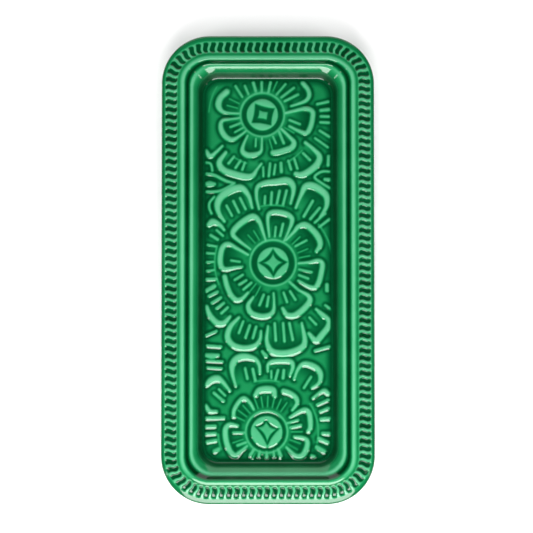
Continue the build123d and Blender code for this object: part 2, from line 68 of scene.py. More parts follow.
PETALS = [
    [
        [(147, 27.5, 4), (158, 29.3, 4), (168, 29, 4), (175, 26, 2.6), (177, 21, 1.6), (177, 15, 1.4)],
        [(188, 15, 1.4), (188, 21, 1.6), (189, 26.5, 2.4), (199, 28.2, 3.4), (211, 27.6, 3.6),
         (220, 25, 3), (223, 20, 1.8), (225, 15, 1.4)],
        [(235, 16.5, 1.4), (238, 23, 2), (242, 27, 3.2), (251, 27.8, 3.8), (261, 26, 3.2),
         (268, 23.5, 2), (269, 19, 1.3), (269, 15, 1.3)],
        [(323, 15.5, 1.8), (321, 22, 2.2), (319, 27, 3.2), (312, 28.5, 3.8), (302, 27.2, 3.8),
         (292, 26.3, 3.8), (286, 25.6, 3.6)],
        [(4, 15, 1.8), (7, 21, 2.2), (8, 28, 2.8), (4, 32.4, 3.2), (355, 32.5, 3.2), (344, 32, 3.2),
         (337, 30.4, 3), (336, 25, 2.2), (337, 19, 1.6)],
        [(38, 33.4, 3), (29, 33.8, 3), (22, 32.6, 2.8), (18, 29.3, 2.4), (17, 24, 1.8), (17, 19.5, 1.4)],
        [(213, 43.4, 2.6), (218.5, 43, 3.2), (219, 38.5, 2), (218, 32.8, 1.5)],
        [(226, 34, 2.2), (228, 41.6, 3.6), (235, 43.6, 4.2), (244, 42.6, 4.4), (255, 41.6, 4.2),
         (261, 39.8, 3.4), (264.5, 35.5, 1.8), (269, 31.7, 1.5)],
        [(327, 33.2, 2.2), (326, 39.7, 2.6), (324, 45.6, 3.6), (318, 47.8, 4.2), (309.5, 47.5, 4.2),
         (303, 46.4, 4), (299.5, 44, 3)],
    ],
    [
        [(98, 17, 1.4), (97, 28, 2.2), (93.5, 32.2, 3), (84, 33, 3.4), (73, 32.6, 3.4), (66, 30.4, 3),
         (64, 23.5, 1.8), (63, 15.8, 1.4)],
        [(108, 15, 1.4), (108, 21, 2), (108.5, 28.3, 3), (113, 32.6, 3.8), (124, 33, 4), (138, 33, 3.8),
         (145, 31.4, 3), (147, 25.4, 2.2), (149, 17, 1.4)],
        [(162, 17, 1.8), (158, 25.4, 2.4), (157, 31.4, 2.8), (163, 34, 3.4), (174, 34.2, 3.6),
         (183, 33.6, 3.4), (187.5, 31, 3), (187, 25, 2), (187, 20, 1.5)],
        [(196, 32.4, 3.2), (207, 33.2, 3.4), (217, 34, 3.4), (225, 33.6, 3.4), (229, 30.4, 2.6),
         (230, 25, 1.6)],
        [(240, 25.5, 1.6), (239.5, 31.5, 2.8), (246, 35, 3.6), (256, 35.4, 3.8), (265, 34, 3.4),
         (270.5, 30.7, 2.4), (271.5, 25, 1.5), (271, 19.5, 1.3)],
        [(282, 30, 2.2), (285, 34.5, 3.4), (292, 36.4, 3.8), (302, 35.8, 4), (313.5, 34.2, 3.6),
         (317, 31, 2.8), (314, 25, 1.6)],
        [(359, 16.5, 1.6), (1, 23.5, 2), (3, 29, 2.6), (359, 31.8, 3.2), (348, 31.8, 3.4),
         (337, 32, 3.4), (329.5, 31.2, 3), (326.5, 27, 2.2), (325, 20, 1.5)],
        [(60, 16.8, 1.4), (56, 24, 2.2), (55, 28.6, 3), (50, 32.2, 3.8), (41, 33.2, 4), (30, 33.6, 4),
         (21, 32.6, 3.4), (15, 29, 2.2)],
        [(104.5, 36, 1.5), (104, 44, 2), (101.5, 50, 2.8), (96, 51.8, 3.4), (88, 52.4, 4),
         (80.5, 54, 4.6), (76, 52, 4), (74, 47.5, 2.6), (73.5, 40, 1.5)],
        [(110.7, 38, 1.6), (110, 46, 2.8), (112.5, 52.2, 4.2), (118, 54, 4.6), (127, 54.4, 4.6),
         (133, 52.4, 4.2), (137, 48, 3), (139.5, 41.3, 1.8)],
        [(67.5, 38.5, 1.6), (67.5, 47.5, 2.6), (67, 53.6, 4), (63, 56, 4.6), (56.5, 56.2, 4.6),
         (51, 55, 4.2), (46.5, 50, 2.8), (44, 42, 1.6)],
        [(149, 48, 3.4), (145.5, 47, 4), (144.5, 42, 2.8), (146, 38, 1.6)],
        [(213.5, 51.4, 2.6), (220, 52.8, 3.4), (227, 52.8, 4), (230.7, 50, 3.6), (231.3, 44.3, 1.8)],
        [(238, 41.5, 1.8), (236.3, 49.5, 3.2), (238.5, 56, 3.8), (244, 58.8, 3.8), (251, 58, 3.8),
         (257.5, 54.8, 3.4), (260.3, 50, 2.2), (260, 44.6, 1.5)],
        [(265.5, 41, 1.5), (265.5, 50.5, 2.6), (269.5, 57, 4), (278, 58.8, 4.4), (287, 58, 4.2),
         (292, 54.6, 3.4), (295.5, 43, 1.6)],
        [(313, 40.8, 1.8), (314.3, 50.6, 3.2), (311.5, 54, 3.8), (305, 55.8, 4), (299, 57, 4),
         (297, 51, 2.2)],
    ],
    [
        [(107, 24.6, 3), (100, 27, 4), (90, 27.4, 4.4), (81, 27, 4), (77, 23.5, 2.6)],
        [(155, 23.5, 2.4), (146, 25.2, 2.6), (133, 26.2, 2.8), (124, 26, 2.8), (120, 21.5, 2.2),
         (120, 16.5, 1.6)],
        [(67, 28.3, 3.6), (58, 29, 3.4), (49, 28.8, 3.2), (43, 26.6, 2.6), (40, 21.5, 1.6)],
        [(32, 17.5, 1.6), (32, 23.5, 2.2), (30, 28.4, 3), (24, 29.8, 3.4), (15, 29, 3.4), (6, 28.2, 3),
         (1, 26.8, 2.6)],
        [(350, 18, 1.6), (351, 23.5, 2.2), (347, 26.8, 3), (336, 27.7, 3.6), (326, 27.2, 3.6),
         (320.5, 24, 3), (322, 16, 1.6)],
        [(168, 19, 1.6), (168.5, 24, 2.6), (175, 26.4, 3.4), (186, 26.6, 3.6), (198, 26.6, 3.6),
         (209, 26.5, 3.6), (216.5, 25, 3.2), (217, 21, 2.2), (216, 15.5, 1.5)],
        [(96.5, 37.6, 1.6), (96.5, 43.4, 2.2), (99.5, 47.4, 3.2), (106, 50.2, 4.2), (112, 50.8, 4.4),
         (117, 48.4, 4), (120.7, 43, 2.6), (124, 35.3, 1.6)],
        [(89, 38.8, 1.4), (88.8, 43, 2), (85, 45.2, 2.8), (77, 46.6, 2.8), (71, 47.6, 3.2),
         (68, 45, 2.6), (67.4, 38.8, 1.6)],
        [(62.4, 38, 1.6), (63.3, 45, 2.2), (61.5, 49.5, 3.2), (56.5, 51.4, 3.8), (51, 52, 3.8),
         (46.5, 50.4, 3.4), (43, 46.2, 2.4), (44, 40.4, 1.5)],
        [(142, 49, 3), (137, 48.6, 4.2), (132.8, 46.6, 4.4), (131.5, 42.6, 3), (132, 35.2, 1.6)],
        [(157, 42.6, 2.6), (160, 39, 3), (158, 34.8, 2)],
        [(36, 36.6, 1.6), (36.3, 42, 2), (35.4, 45.6, 2.8), (31.8, 46.4, 3)],
    ],
]

# straight ribs: (angle, distance, angle, distance, width)
RIBS = [
    [
        (201, 15.4, 201, 22, 1.6), (214, 15.3, 212.5, 21, 1.3), (255, 16, 258, 21, 1.2),
        (314.5, 15.4, 307, 23, 1.8), (296, 15.7, 295.5, 20.5, 1.2), (349, 18, 346, 25, 1.6),
        (42.5, 16.7, 40.7, 27, 1.7), (31.5, 17, 29.7, 26.6, 1.8), (55, 16, 53, 25, 1.4),
        (75, 15.2, 76, 22, 1.7), (91.5, 14.8, 91, 22.2, 1.7), (105.5, 16, 105.6, 21.8, 2),
        (124, 16, 121, 22, 1.5), (138, 17.5, 133, 25.5, 1.6), (236, 32.8, 235.3, 38.3, 1.7),
        (244.5, 33, 243.3, 38.5, 1.7), (250, 33, 250, 38, 1.5), (279, 32, 276, 40, 1.6),
        (271, 34, 271, 40, 1.3), (284.6, 33.4, 281, 39.4, 1.4), (291, 33.6, 288.4, 39, 2),
        (299.5, 34.2, 297.6, 40, 1.6), (306, 35, 303, 41.6, 1.6), (316.6, 36.4, 316.4, 42.4, 1.7),
        (11, 36.2, 11.4, 43.4, 1.8), (4.4, 38, 4.6, 43.4, 2.2), (358.5, 38, 358.5, 43, 1.8),
        (352.7, 38, 353.3, 43.6, 1.8), (344.5, 38.6, 341.8, 45.8, 1.7), (336, 37.4, 333.6, 47.2, 1.5),
        (327.9, 50.6, 322.5, 53.6, 2),
    ],
    [
        (86, 17, 85.6, 23.3, 1.4), (75, 18, 75.6, 26, 1.7), (178, 21.5, 176.6, 27, 1.5),
        (201.5, 21, 203.8, 27, 1.6), (213, 20.6, 212.6, 25.8, 1.7), (222.5, 19, 222, 25.6, 1.7),
        (253.6, 21.4, 252.3, 28.6, 1.7), (262.5, 22, 262, 28.2, 1.7), (289.6, 20.4, 289.7, 26.8, 1.6),
        (301, 21.4, 301.3, 27.8, 1.6), (311, 16.2, 313.4, 24.6, 1.8), (346, 17.4, 346.5, 25.6, 1.5),
        (335, 18.6, 336, 24.8, 1.6), (36.6, 18, 34, 26, 1.5), (98, 38.6, 96.8, 43.4, 1.6),
        (92, 37.8, 91, 45.6, 1.7), (86.3, 38.4, 84.8, 46.8, 1.7), (80.2, 38.2, 79.4, 47.6, 1.7),
        (117, 39, 116.9, 47, 1.6), (124, 39.4, 122.7, 47.4, 1.7), (131, 40.4, 129, 47.6, 1.6),
        (56.5, 36, 57.3, 47.6, 1.8), (49.6, 37.2, 49.8, 46.5, 1.8), (44, 37.6, 43.5, 46.5, 1.6),
        (37.8, 38, 37.8, 46, 1.7), (157, 38.8, 156, 44, 1.9), (151.5, 36.8, 149.8, 42, 1.6),
        (164, 38.4, 164.5, 43.6, 1.5), (171, 38.4, 171.5, 43, 1.5), (179, 38.4, 179.4, 42.6, 1.5),
        (187, 38.4, 187, 42.8, 1.5), (196, 38, 194, 44, 2), (201.6, 40.6, 202.6, 46.4, 2.6),
        (207.5, 40.4, 207.4, 46.6, 1.8), (213.5, 40.4, 213.3, 47, 1.8), (219.2, 41, 218.9, 46.8, 1.8),
        (224.5, 41, 224.3, 46.4, 1.8), (243, 42.4, 244, 50.2, 1.6), (249.6, 43, 249.8, 51.2, 1.8),
        (255.2, 42.6, 255, 50, 1.8), (271.6, 39, 272, 50, 1.7), (279.5, 39.4, 278.3, 51, 1.7),
        (285.2, 40.3, 284.4, 51, 1.8), (312.6, 43, 312.4, 48, 1.6), (303.7, 42.4, 305, 48.4, 1.6),
        (321, 43.4, 321.4, 48, 1.6), (333, 39, 338, 37.5, 2.4),
    ],
    [
        (23, 14, 20.6, 21.6, 1.6), (10, 15.6, 11, 22.4, 1.9), (182, 14.2, 181.3, 21.4, 1.6),
        (207, 15, 205, 20.6, 1.8), (234, 13.6, 235, 18.4, 2.1), (251, 12.9, 252, 16.6, 1.8),
        (270, 12.9, 270, 16.4, 1.8), (289, 12.9, 287, 16.4, 1.8), (304, 13.2, 300.5, 17.8, 2.3),
        (110, 36.2, 108.8, 43, 1.7), (102.5, 33.8, 102.5, 41.2, 1.9), (80.4, 34, 79.5, 40.2, 1.7),
        (73, 36, 74.3, 41, 1.9), (85, 34.6, 85.6, 39.2, 1.3), (49.6, 37, 51, 45.2, 1.7),
        (144.6, 34, 143.7, 42, 2), (139, 35.4, 138.4, 41, 1.5), (162, 29, 167.3, 39.6, 2.2),
        (174, 33.4, 175, 38.8, 2.4), (182, 33, 182, 38.8, 2.2), (189.6, 33.2, 189.8, 38.6, 2.4),
        (200, 33, 200.5, 35.6, 2.8), (28, 36.8, 27.4, 44.6, 1.8), (20.6, 36.8, 20.9, 42.4, 2),
        (13, 35.8, 12, 41, 2.4), (358.4, 36, 358.4, 40, 2.3), (352.8, 33.8, 350.2, 39.6, 2.5),
        (343, 33.8, 341.3, 38.8, 2.8),
    ],
]

# eye of each flower: ring distance, four tips of the sunken star, how hollow its sides
# are, width of the sunken line and how much faster it eats the tips
EYES = [
    (14.2, [(27, 9.3), (123, 9), (217, 9), (310, 9.4)], 0.9, 3.2, 1.6),
    (14.8, [(3, 9.8), (90, 9.8), (180, 9.8), (272, 9.8)], 0.82, 2.4, 1.2),
    (13.4, [(14, 9.2), (93, 8.8), (155, 9.2), (273, 9.8)], 0.82, 1.8, 1.2),
]


# loose leaves, lines and the edges of the raised ground: (x, y, width) on the tray
STRAYS = [
    [(-39.7, 61.8, 1.8), (-34.6, 61, 2), (-27.6, 57.5, 2), (-21.6, 55.8, 1.6)],
    [(-39.7, 50.2, 1.6), (-31.7, 50.6, 1.8), (-26, 53, 1.8), (-22, 55.4, 1.6)],
    [(-40.4, 55.2, 2.4), (-37.5, 55.2, 4), (-34.6, 55.2, 2.2)],
    [(-40.2, 69.2, 1.4), (-37.3, 68.6, 1.5), (-36.3, 66.5, 1.5), (-35.9, 63.8, 1.4)],
    [(-34.6, 46.9, 1.5), (-37.6, 43.3, 1.6), (-37.8, 39.5, 1.6), (-36.4, 36.1, 1.5)],
    [(40.4, 63.3, 1.5), (34.7, 63.2, 1.6), (30.2, 59.8, 1.6), (34, 56.3, 1.7), (39.8, 52.7, 1.7)],
    [(37, 58.2, 2.2), (40.4, 58, 2.4)],
    [(-40, -55.2, 2.4), (-36, -55.8, 3.8), (-32, -55.2, 2.2)],
    [(-39.5, -58.9, 1.5), (-29.2, -59.4, 1.6)],
    [(-38.9, -63.2, 1.5), (-29.7, -63.8, 1.6)],
    [(-39.7, -42.6, 1.8), (-33.2, -39.8, 1.8)],
    [(-38.9, -49.2, 2), (-30.3, -49.9, 2)],
    [(-3.5, -52.9, 2), (-1.3, -55.8, 2.8)],
    [(30.4, -52.4, 2), (39.6, -49.7, 2)],
    [(28, -119.6, 1.8), (29.6, -120.2, 2)],
]

# arcs of the raised ground's edge about a flower: (flower, distance, from angle, to angle, width)
GROUND_EDGES = [
    (0, 34.6, 148, 177, 1.3),
    (1, 37.6, 163, 202, 1.5),
    (1, 38.4, 8, 40, 1.5),
    (1, 37.3, 79, 103, 1.4),
    (2, 31.2, 183, 201, 1.6),
    (2, 33.2, -12, 33, 1.6),
    (2, 33, 76, 104, 1.5),
    (0, 33, 236, 252, 1.4),
    (0, 34.6, 298, 318, 1.4),
]

# heights of the relief above the floor: the raised ground, the petals' rims, the ribs, the
# ground's edges, the ring round each eye and the eye's own face
GROUND = 0.66
RIM = 1.35
RIB = 1.16
FINE_RIB = 0.98
STRAY = 1.15
EDGE = 0.85
RING = 1.08
FACE = 1.2
# radii of an eye's face and of the part worked out for it
FACE_RADIUS = 10.75
EYE_REACH = 12
# inset at which the rim and wall piece meets the floor piece
SEAM = 26.8


def ease(t):
    t = np.clip(t, 0.0, 1.0)
    return t * t * (3 - 2 * t)


def spot(flower, angle, reach):
    cx, cy = FLOWERS[flower]
    a = math.radians(angle)
    return cx + reach * math.cos(a), cy + reach * math.sin(a)


def run_through(points, steps=8):
    """Dense run through the given points, the width carried along."""
    p = np.array(points, float)
    q = np.vstack([2 * p[0] - p[1], p, 2 * p[-1] - p[-2]])
    t = np.linspace(0, 1, steps + 1)[:-1][:, None]
    out = []
    for i in range(1, len(q) - 2):
        a, b, c, d = q[i - 1 : i + 3]
        square = (2 * a - 5 * b + 4 * c - d) * t**2
        cube = (3 * b - a - 3 * c + d) * t**3
        out.append(0.5 * (2 * b + (c - a) * t + square + cube))
    out.append(p[-1:])
    return np.vstack(out)


def to_path(x, y, path):
    """Distance of each point from a path, and the path's half-width there."""
    best = np.full(x.shape, 1e9)
    half = np.zeros(x.shape)
    for (x0, y0, w0), (x1, y1, w1) in zip(path[:-1], path[1:]):
        dx, dy = x1 - x0, y1 - y0
        t = np.clip(((x - x0) * dx + (y - y0) * dy) / (dx * dx + dy * dy), 0, 1)
        d = np.hypot(x - x0 - t * dx, y - y0 - t * dy)
        nearer = d < best
        best = np.where(nearer, d, best)
        half = np.where(nearer, (w0 + (w1 - w0) * t) / 2, half)
    return best, half


def inside(x, y, path):
    """Which points lie inside the closed figure of a path."""
    hit = np.zeros(x.shape, bool)
    for (x0, y0, _), (x1, y1, _) in zip(path, np.roll(path, -1, axis=0)):
        if y0 == y1:
            continue
        crossing = ((y0 > y) != (y1 > y)) & (x < (x1 - x0) * (y - y0) / (y1 - y0) + x0)
        hit ^= crossing
    return hit


def near(x, y, path, reach):
    lo = path[:, :2].min(0) - reach
    hi = path[:, :2].max(0) + reach
    return (x > lo[0]) & (x < hi[0]) & (y > lo[1]) & (y < hi[1])


# faint ribs that fan out round each eye wherever no drawn rib or petal edge is near:
# step and clearance in degrees, the rest in mm
FINE_STEP = 11.0
FINE_WIDTH = 1.25
FINE_START = 2.4
FINE_LENGTH = 7.0
FINE_CLEAR = 6.5


def fine_ribs(flower):
    """Angles of the faint ribs of one flower, kept clear of its drawn ribs and petal edges."""
    reach = EYES[flower][0] + FINE_START + FINE_LENGTH
    taken = [a for a, r, *_ in RIBS[flower] if r < reach]
    taken += [a for petal in PETALS[flower] for a, r, _ in petal if r < reach]
    kept = []
    for angle in np.arange(0.0, 360.0, FINE_STEP):
        if all(abs((angle - a + 180) % 360 - 180) > FINE_CLEAR for a in taken):
            kept.append(angle)
    return kept


def bar(d, half, top, slope=1.1):
    """Rounded bar of a given half-width: full on the middle, gone just past its side."""
    dome = 1 - 0.2 * np.clip(d / half, 0, 1) ** 2
    return top * dome * ease((half + slope * 0.5 - d) / slope)


def blend_max(a, b, k=0.35):
    """The higher of two heights, with the crease between them filled."""
    h = np.clip(0.5 + 0.5 * (a - b) / k, 0, 1)
    return b + (a - b) * h + k * h * (1 - h) * 0.5


def arc_through(p, q, r, steps=10):
    """Points of the arc from p through q to r, without r."""
    (ax, ay), (bx, by), (cx, cy) = p, q, r
    d = 2 * (ax * (by - cy) + bx * (cy - ay) + cx * (ay - by))
    aa, bb, cc = ax**2 + ay**2, bx**2 + by**2, cx**2 + cy**2
    ux = (aa * (by - cy) + bb * (cy - ay) + cc * (ay - by)) / d
    uy = (aa * (cx - bx) + bb * (ax - cx) + cc * (bx - ax)) / d
    size = math.hypot(ax - ux, ay - uy)
    first = math.atan2(ay - uy, ax - ux)
    turn = (math.atan2(cy - uy, cx - ux) - first + math.pi) % (2 * math.pi) - math.pi
    angles = [first + turn * k / steps for k in range(steps)]
    return [(ux + size * math.cos(a), uy + size * math.sin(a), 0.0) for a in angles]


def star_distance(x, y, flower, shrink):
    """How far outside the hollow-sided star each point lies, below zero inside."""
    _, tips, hollow, _, bite = EYES[flower]
    path = []
    for i in range(4):
        a0, r0 = tips[i]
        a1, r1 = tips[(i + 1) % 4]
        if a1 < a0:
            a1 += 360
        chord = (r0 + r1) / 2 * math.cos(math.radians(a1 - a0) / 2)
        path += arc_through(
            spot(flower, a0, r0 - shrink * bite),
            spot(flower, (a0 + a1) / 2, hollow * chord - shrink),
            spot(flower, a1, r1 - shrink * bite),
        )
    path = np.array(path)
    away, _ = to_path(x, y, np.vstack([path, path[:1]]))
    return np.where(inside(x, y, path), -away, away)


def floor_height(x, y, margin, shape):
    """Height of the relief above the floor at points x, y; margin is the way to the wall."""
    ground = np.full(x.shape, GROUND)
    inner = np.full(x.shape, -1.0)
    rims = np.zeros(x.shape)
    ribs = np.zeros(x.shape)
    for flower in range(3):
        cx, cy = FLOWERS[flower]
        r = np.hypot(x - cx, y - cy)
        for petal in PETALS[flower]:
            path = run_through([spot(flower, a, d) + (w,) for a, d, w in petal])
            part = near(x, y, path, 6.0)
            px, py = x[part], y[part]
            d, half = to_path(px, py, path)
            s = d - half
            within = inside(px, py, path)
            cut = 0.12 + 0.88 * ease((s - 1.0) / 1.5)
            ground[part] = np.where(within, ground[part], np.minimum(ground[part], GROUND * cut))
            far = max(k for _, k, _ in petal)
            close = min(k for _, k, _ in petal)
            depth = (far - r[part]) / max(far - close, 4.0)
            sunk = 0.16 + 0.5 * ease(depth) ** 1.2
            inner[part] = np.where(within, sunk, inner[part])
            rims[part] = np.maximum(rims[part], bar(d, half + 0.25, RIM, 2.0))
        for a0, r0, a1, r1, w in RIBS[flower]:
            path = np.array([spot(flower, a0, r0) + (w,), spot(flower, a1, r1) + (w,)])
            part = near(x, y, path, 4.0)
            d, half = to_path(x[part], y[part], path)
            ribs[part] = np.maximum(ribs[part], bar(d, half + 0.25, RIB, 1.3))
            gap = 0.16 + GROUND * ease((d - half - 0.8) / 1.7)
            ground[part] = np.minimum(ground[part], gap)
            inner[part] = np.minimum(inner[part], gap)
    for flower in range(3):
        start = EYES[flower][0] + FINE_START
        for angle in fine_ribs(flower):
            ends = [spot(flower, angle, start), spot(flower, angle, start + FINE_LENGTH)]
            path = np.array([end + (FINE_WIDTH,) for end in ends])
            part = near(x, y, path, 4.0)
            d, half = to_path(x[part], y[part], path)
            ribs[part] = np.maximum(ribs[part], bar(d, half, FINE_RIB, 1.3))
            gap = 0.2 + GROUND * ease((d - half - 0.7) / 1.5)
            ground[part] = np.minimum(ground[part], gap)
            inner[part] = np.where(inner[part] >= 0, np.minimum(inner[part], gap), inner[part])
    for flower, reach, a0, a1, w in GROUND_EDGES:
        steps = np.linspace(a0, a1, 12)
        path = np.array([spot(flower, a, reach) + (w,) for a in steps])
        part = near(x, y, path, 4.0)
        d, half = to_path(x[part], y[part], path)
        ribs[part] = np.maximum(ribs[part], bar(d, half + 0.1, EDGE, 1.2))
    for stray in STRAYS:
        path = run_through(stray)
        part = near(x, y, path, 4.0)
        d, half = to_path(x[part], y[part], path)
        ribs[part] = np.maximum(ribs[part], bar(d, half + 0.2, STRAY, 1.2))
        ground[part] = np.minimum(ground[part], GROUND * ease((d - half - 0.9) / 1.3))
    level = np.where(inner >= 0, inner, ground)
    for flower in range(3):
        ring = EYES[flower][0]
        cx, cy = FLOWERS[flower]
        r = np.hypot(x - cx, y - cy)
        apron = 0.7 * (1 - ease((r - ring - 0.3) / 4.6))
        level = np.where(r > ring, np.maximum(level, apron), level)
        level = np.where(r < ring + 0.2, 0.24, level)
        rims = np.where(r < ring - 1.0, 0, rims)
        ribs = np.where(r < ring - 1.0, 0, ribs)
        ribs = np.maximum(ribs, bar(np.abs(r - ring), 1.05, RING, 1.6))
        near_eye = r < EYE_REACH
        ex, ey = x[near_eye], y[near_eye]
        sunk = ease((0.35 - star_distance(ex, ey, flower, 0.0)) / 1.1)
        middle = ease((0.55 - star_distance(ex, ey, flower, EYES[flower][3])) / 1.1)
        face = np.maximum(FACE * (1 - sunk * 0.88), RING * middle)
        rims[near_eye] = np.maximum(rims[near_eye], face * ease((FACE_RADIUS - r[near_eye]) / 1.0))
    level = level * (0.3 + 0.7 * ease((margin - 0.5) / 4.5))
    level = soften(level.reshape(shape), 5).ravel()
    height = blend_max(blend_max(ribs, level, 0.3), rims, 0.3)
    return height * ease((margin + 0.3) / 1.6)


def soften(a, passes):
    for _ in range(passes):
        b = np.pad(a, 1, mode="edge")
        a = 0.5 * a + 0.125 * (b[2:, 1:-1] + b[:-2, 1:-1] + b[1:-1, 2:] + b[1:-1, :-2])
    return a


def ripple(x, y, seed, scale):
    """Slow, even unevenness from a few crossed waves."""
    rng = np.random.default_rng(seed)
    total = np.zeros(np.shape(x))
    for _ in range(9):
        a = rng.uniform(0, 2 * math.pi)
        k = rng.uniform(0.6, 1.6) / scale
        total = total + np.sin(k * (x * math.cos(a) + y * math.sin(a)) + rng.uniform(0, 6.28))
    return total / 9


# ---------------------------------------------------------------- outlines of the tray
# the corners stay concentric down to the roll, then close more slowly
CONCENTRIC = 15.0
CLOSING = 0.42


def radius_at(inset):
    if inset <= CONCENTRIC:
        return CORNER - inset
    return CORNER - CONCENTRIC - (inset - CONCENTRIC) * CLOSING


def legs_at(inset):
    """Half the straight side across, half the one along, and the corner radius."""
    r = radius_at(inset)
    a = WIDTH / 2 - inset - r
    b = LENGTH / 2 - inset - r
    return a, b, r


# inset along which the ridges are counted out, and their spacing
BAND = 6.3
PITCH = 4.8
A0, B0, R0 = legs_at(BAND)
LEGS = [2 * B0, R0 * math.pi / 2, 2 * A0, R0 * math.pi / 2] * 2
STARTS = np.concatenate([[0], np.cumsum(LEGS)])
AROUND = STARTS[-1]
RIDGES = round(AROUND / PITCH)


def outline(run, inset):
    """Points of the outline at an inset, and the way outwards, for runs along the ribbed band."""
    run = np.mod(run, AROUND)
    a, b, r = legs_at(inset)
    turn = np.clip(np.searchsorted(STARTS, run, side="right") - 1, 0, 7)
    part = (run - STARTS[turn]) / np.array(LEGS)[turn]
    side = turn // 2
    base = side * math.pi / 2
    cx = np.array([a, -a, -a, a])[side]
    cy = np.array([b, b, -b, -b])[side]
    straight = turn % 2 == 0
    reach = np.where(side % 2 == 0, 2 * b, 2 * a)
    left = np.where(straight, (1 - part) * reach, 0)
    angle = np.where(straight, base, base + part * math.pi / 2)
    ox = np.where(straight, cx + np.sin(base) * left, cx)
    oy = np.where(straight, cy - np.cos(base) * left, cy)
    nx, ny = np.cos(angle), np.sin(angle)
    return ox + nx * r, oy + ny * r, nx, ny


# ---------------------------------------------------------------- meshes
# angles in degrees past which an edge is drawn sharp
CREASE = 60
CAP_CREASE = 50


def make_mesh(name, points, faces, tone, material, sharp):
    """Smooth-shaded object from points in mm, creased where faces meet at more than sharp degrees."""
    mesh = bpy.data.meshes.new(name)
    mesh.from_pydata([tuple(p) for p in np.asarray(points, float) * MM], [], faces)
    if tone is not None:
        layer = mesh.attributes.new("tone", "FLOAT", "POINT")
        layer.data.foreach_set("value", np.asarray(tone, np.float32))
    mesh.polygons.foreach_set("use_smooth", [True] * len(mesh.polygons))
    mesh.set_sharp_from_angle(angle=math.radians(sharp))
    mesh.materials.append(material)
    mesh.update()
    obj = bpy.data.objects.new(name, mesh)
    bpy.context.scene.collection.objects.link(obj)
    return obj


def loop_faces(rows, cols, wrap_rows):
    """Quads between rows of points, each row closed; wrap_rows joins the last row to the first."""
    faces = []
    last = rows if wrap_rows else rows - 1
    for i in range(last):
        a = i * cols
        b = ((i + 1) % rows) * cols
        for j in range(cols):
            k = (j + 1) % cols
            faces.append((a + j, a + k, b + k, b + j))
    return faces


# ---------------------------------------------------------------- finishes
def set_input(node, name, value):
    node.inputs[name].default_value = value


GLOSS = 0.07
SATIN_MORE = 0.27


def glaze_material(name, varied_gloss):
    """Green glaze coloured by the tone attribute; varied_gloss adds the satin attribute."""
    mat = bpy.data.materials.new(name)
    mat.use_nodes = True
    nt = mat.node_tree
    nt.nodes.clear()
    out = nt.nodes.new("ShaderNodeOutputMaterial")
    bsdf = nt.nodes.new("ShaderNodeBsdfPrincipled")
    nt.links.new(bsdf.outputs["BSDF"], out.inputs["Surface"])
    tone = nt.nodes.new("ShaderNodeAttribute")
    tone.attribute_name = "tone"
    coord = nt.nodes.new("ShaderNodeTexCoord")
    cloud = nt.nodes.new("ShaderNodeTexNoise")
    set_input(cloud, "Scale", 55.0)
    set_input(cloud, "Detail", 4.0)
    nt.links.new(coord.outputs["Object"], cloud.inputs["Vector"])
    lean = nt.nodes.new("ShaderNodeMath")
    lean.operation = "MULTIPLY_ADD"
    lean.inputs[1].default_value = 0.16
    lean.inputs[2].default_value = -0.08
    nt.links.new(cloud.outputs["Fac"], lean.inputs[0])
    add = nt.nodes.new("ShaderNodeMath")
    add.operation = "ADD"
    add.use_clamp = True
    nt.links.new(tone.outputs["Fac"], add.inputs[0])
    nt.links.new(lean.outputs["Value"], add.inputs[1])
    ramp = nt.nodes.new("ShaderNodeValToRGB")
    stops = [
        (0.0, (0.0002, 0.024, 0.0047)),
        (0.12, (0.0004, 0.047, 0.0138)),
        (0.28, (0.0015, 0.09, 0.0275)),
        (0.45, (0.0047, 0.152, 0.047)),
        (0.62, (0.0165, 0.228, 0.083)),
        (0.8, (0.0485, 0.302, 0.139)),
        (1.0, (0.098, 0.378, 0.202)),
    ]
    ramp.color_ramp.elements[0].position = stops[0][0]
    ramp.color_ramp.elements[0].color = (*stops[0][1], 1)
    ramp.color_ramp.elements[1].position = stops[-1][0]
    ramp.color_ramp.elements[1].color = (*stops[-1][1], 1)
    for place, colour in stops[1:-1]:
        stop = ramp.color_ramp.elements.new(place)
        stop.color = (*colour, 1)
    nt.links.new(add.outputs["Value"], ramp.inputs["Fac"])
    nt.links.new(ramp.outputs["Color"], bsdf.inputs["Base Color"])
    set_input(bsdf, "Roughness", GLOSS)
    if varied_gloss:
        satin = nt.nodes.new("ShaderNodeAttribute")
        satin.attribute_name = "satin"
        gloss = nt.nodes.new("ShaderNodeMath")
        gloss.operation = "MULTIPLY_ADD"
        gloss.inputs[1].default_value = SATIN_MORE
        gloss.inputs[2].default_value = GLOSS
        nt.links.new(satin.outputs["Fac"], gloss.inputs[0])
        nt.links.new(gloss.outputs["Value"], bsdf.inputs["Roughness"])
    set_input(bsdf, "IOR", 1.52)
    fine = nt.nodes.new("ShaderNodeTexNoise")
    set_input(fine, "Scale", 420.0)
    set_input(fine, "Detail", 2.0)
    nt.links.new(coord.outputs["Object"], fine.inputs["Vector"])
    bump = nt.nodes.new("ShaderNodeBump")
    set_input(bump, "Strength", 0.05)
    set_input(bump, "Distance", 0.0003)
    nt.links.new(fine.outputs["Fac"], bump.inputs["Height"])
    nt.links.new(bump.outputs["Normal"], bsdf.inputs["Normal"])
    return mat


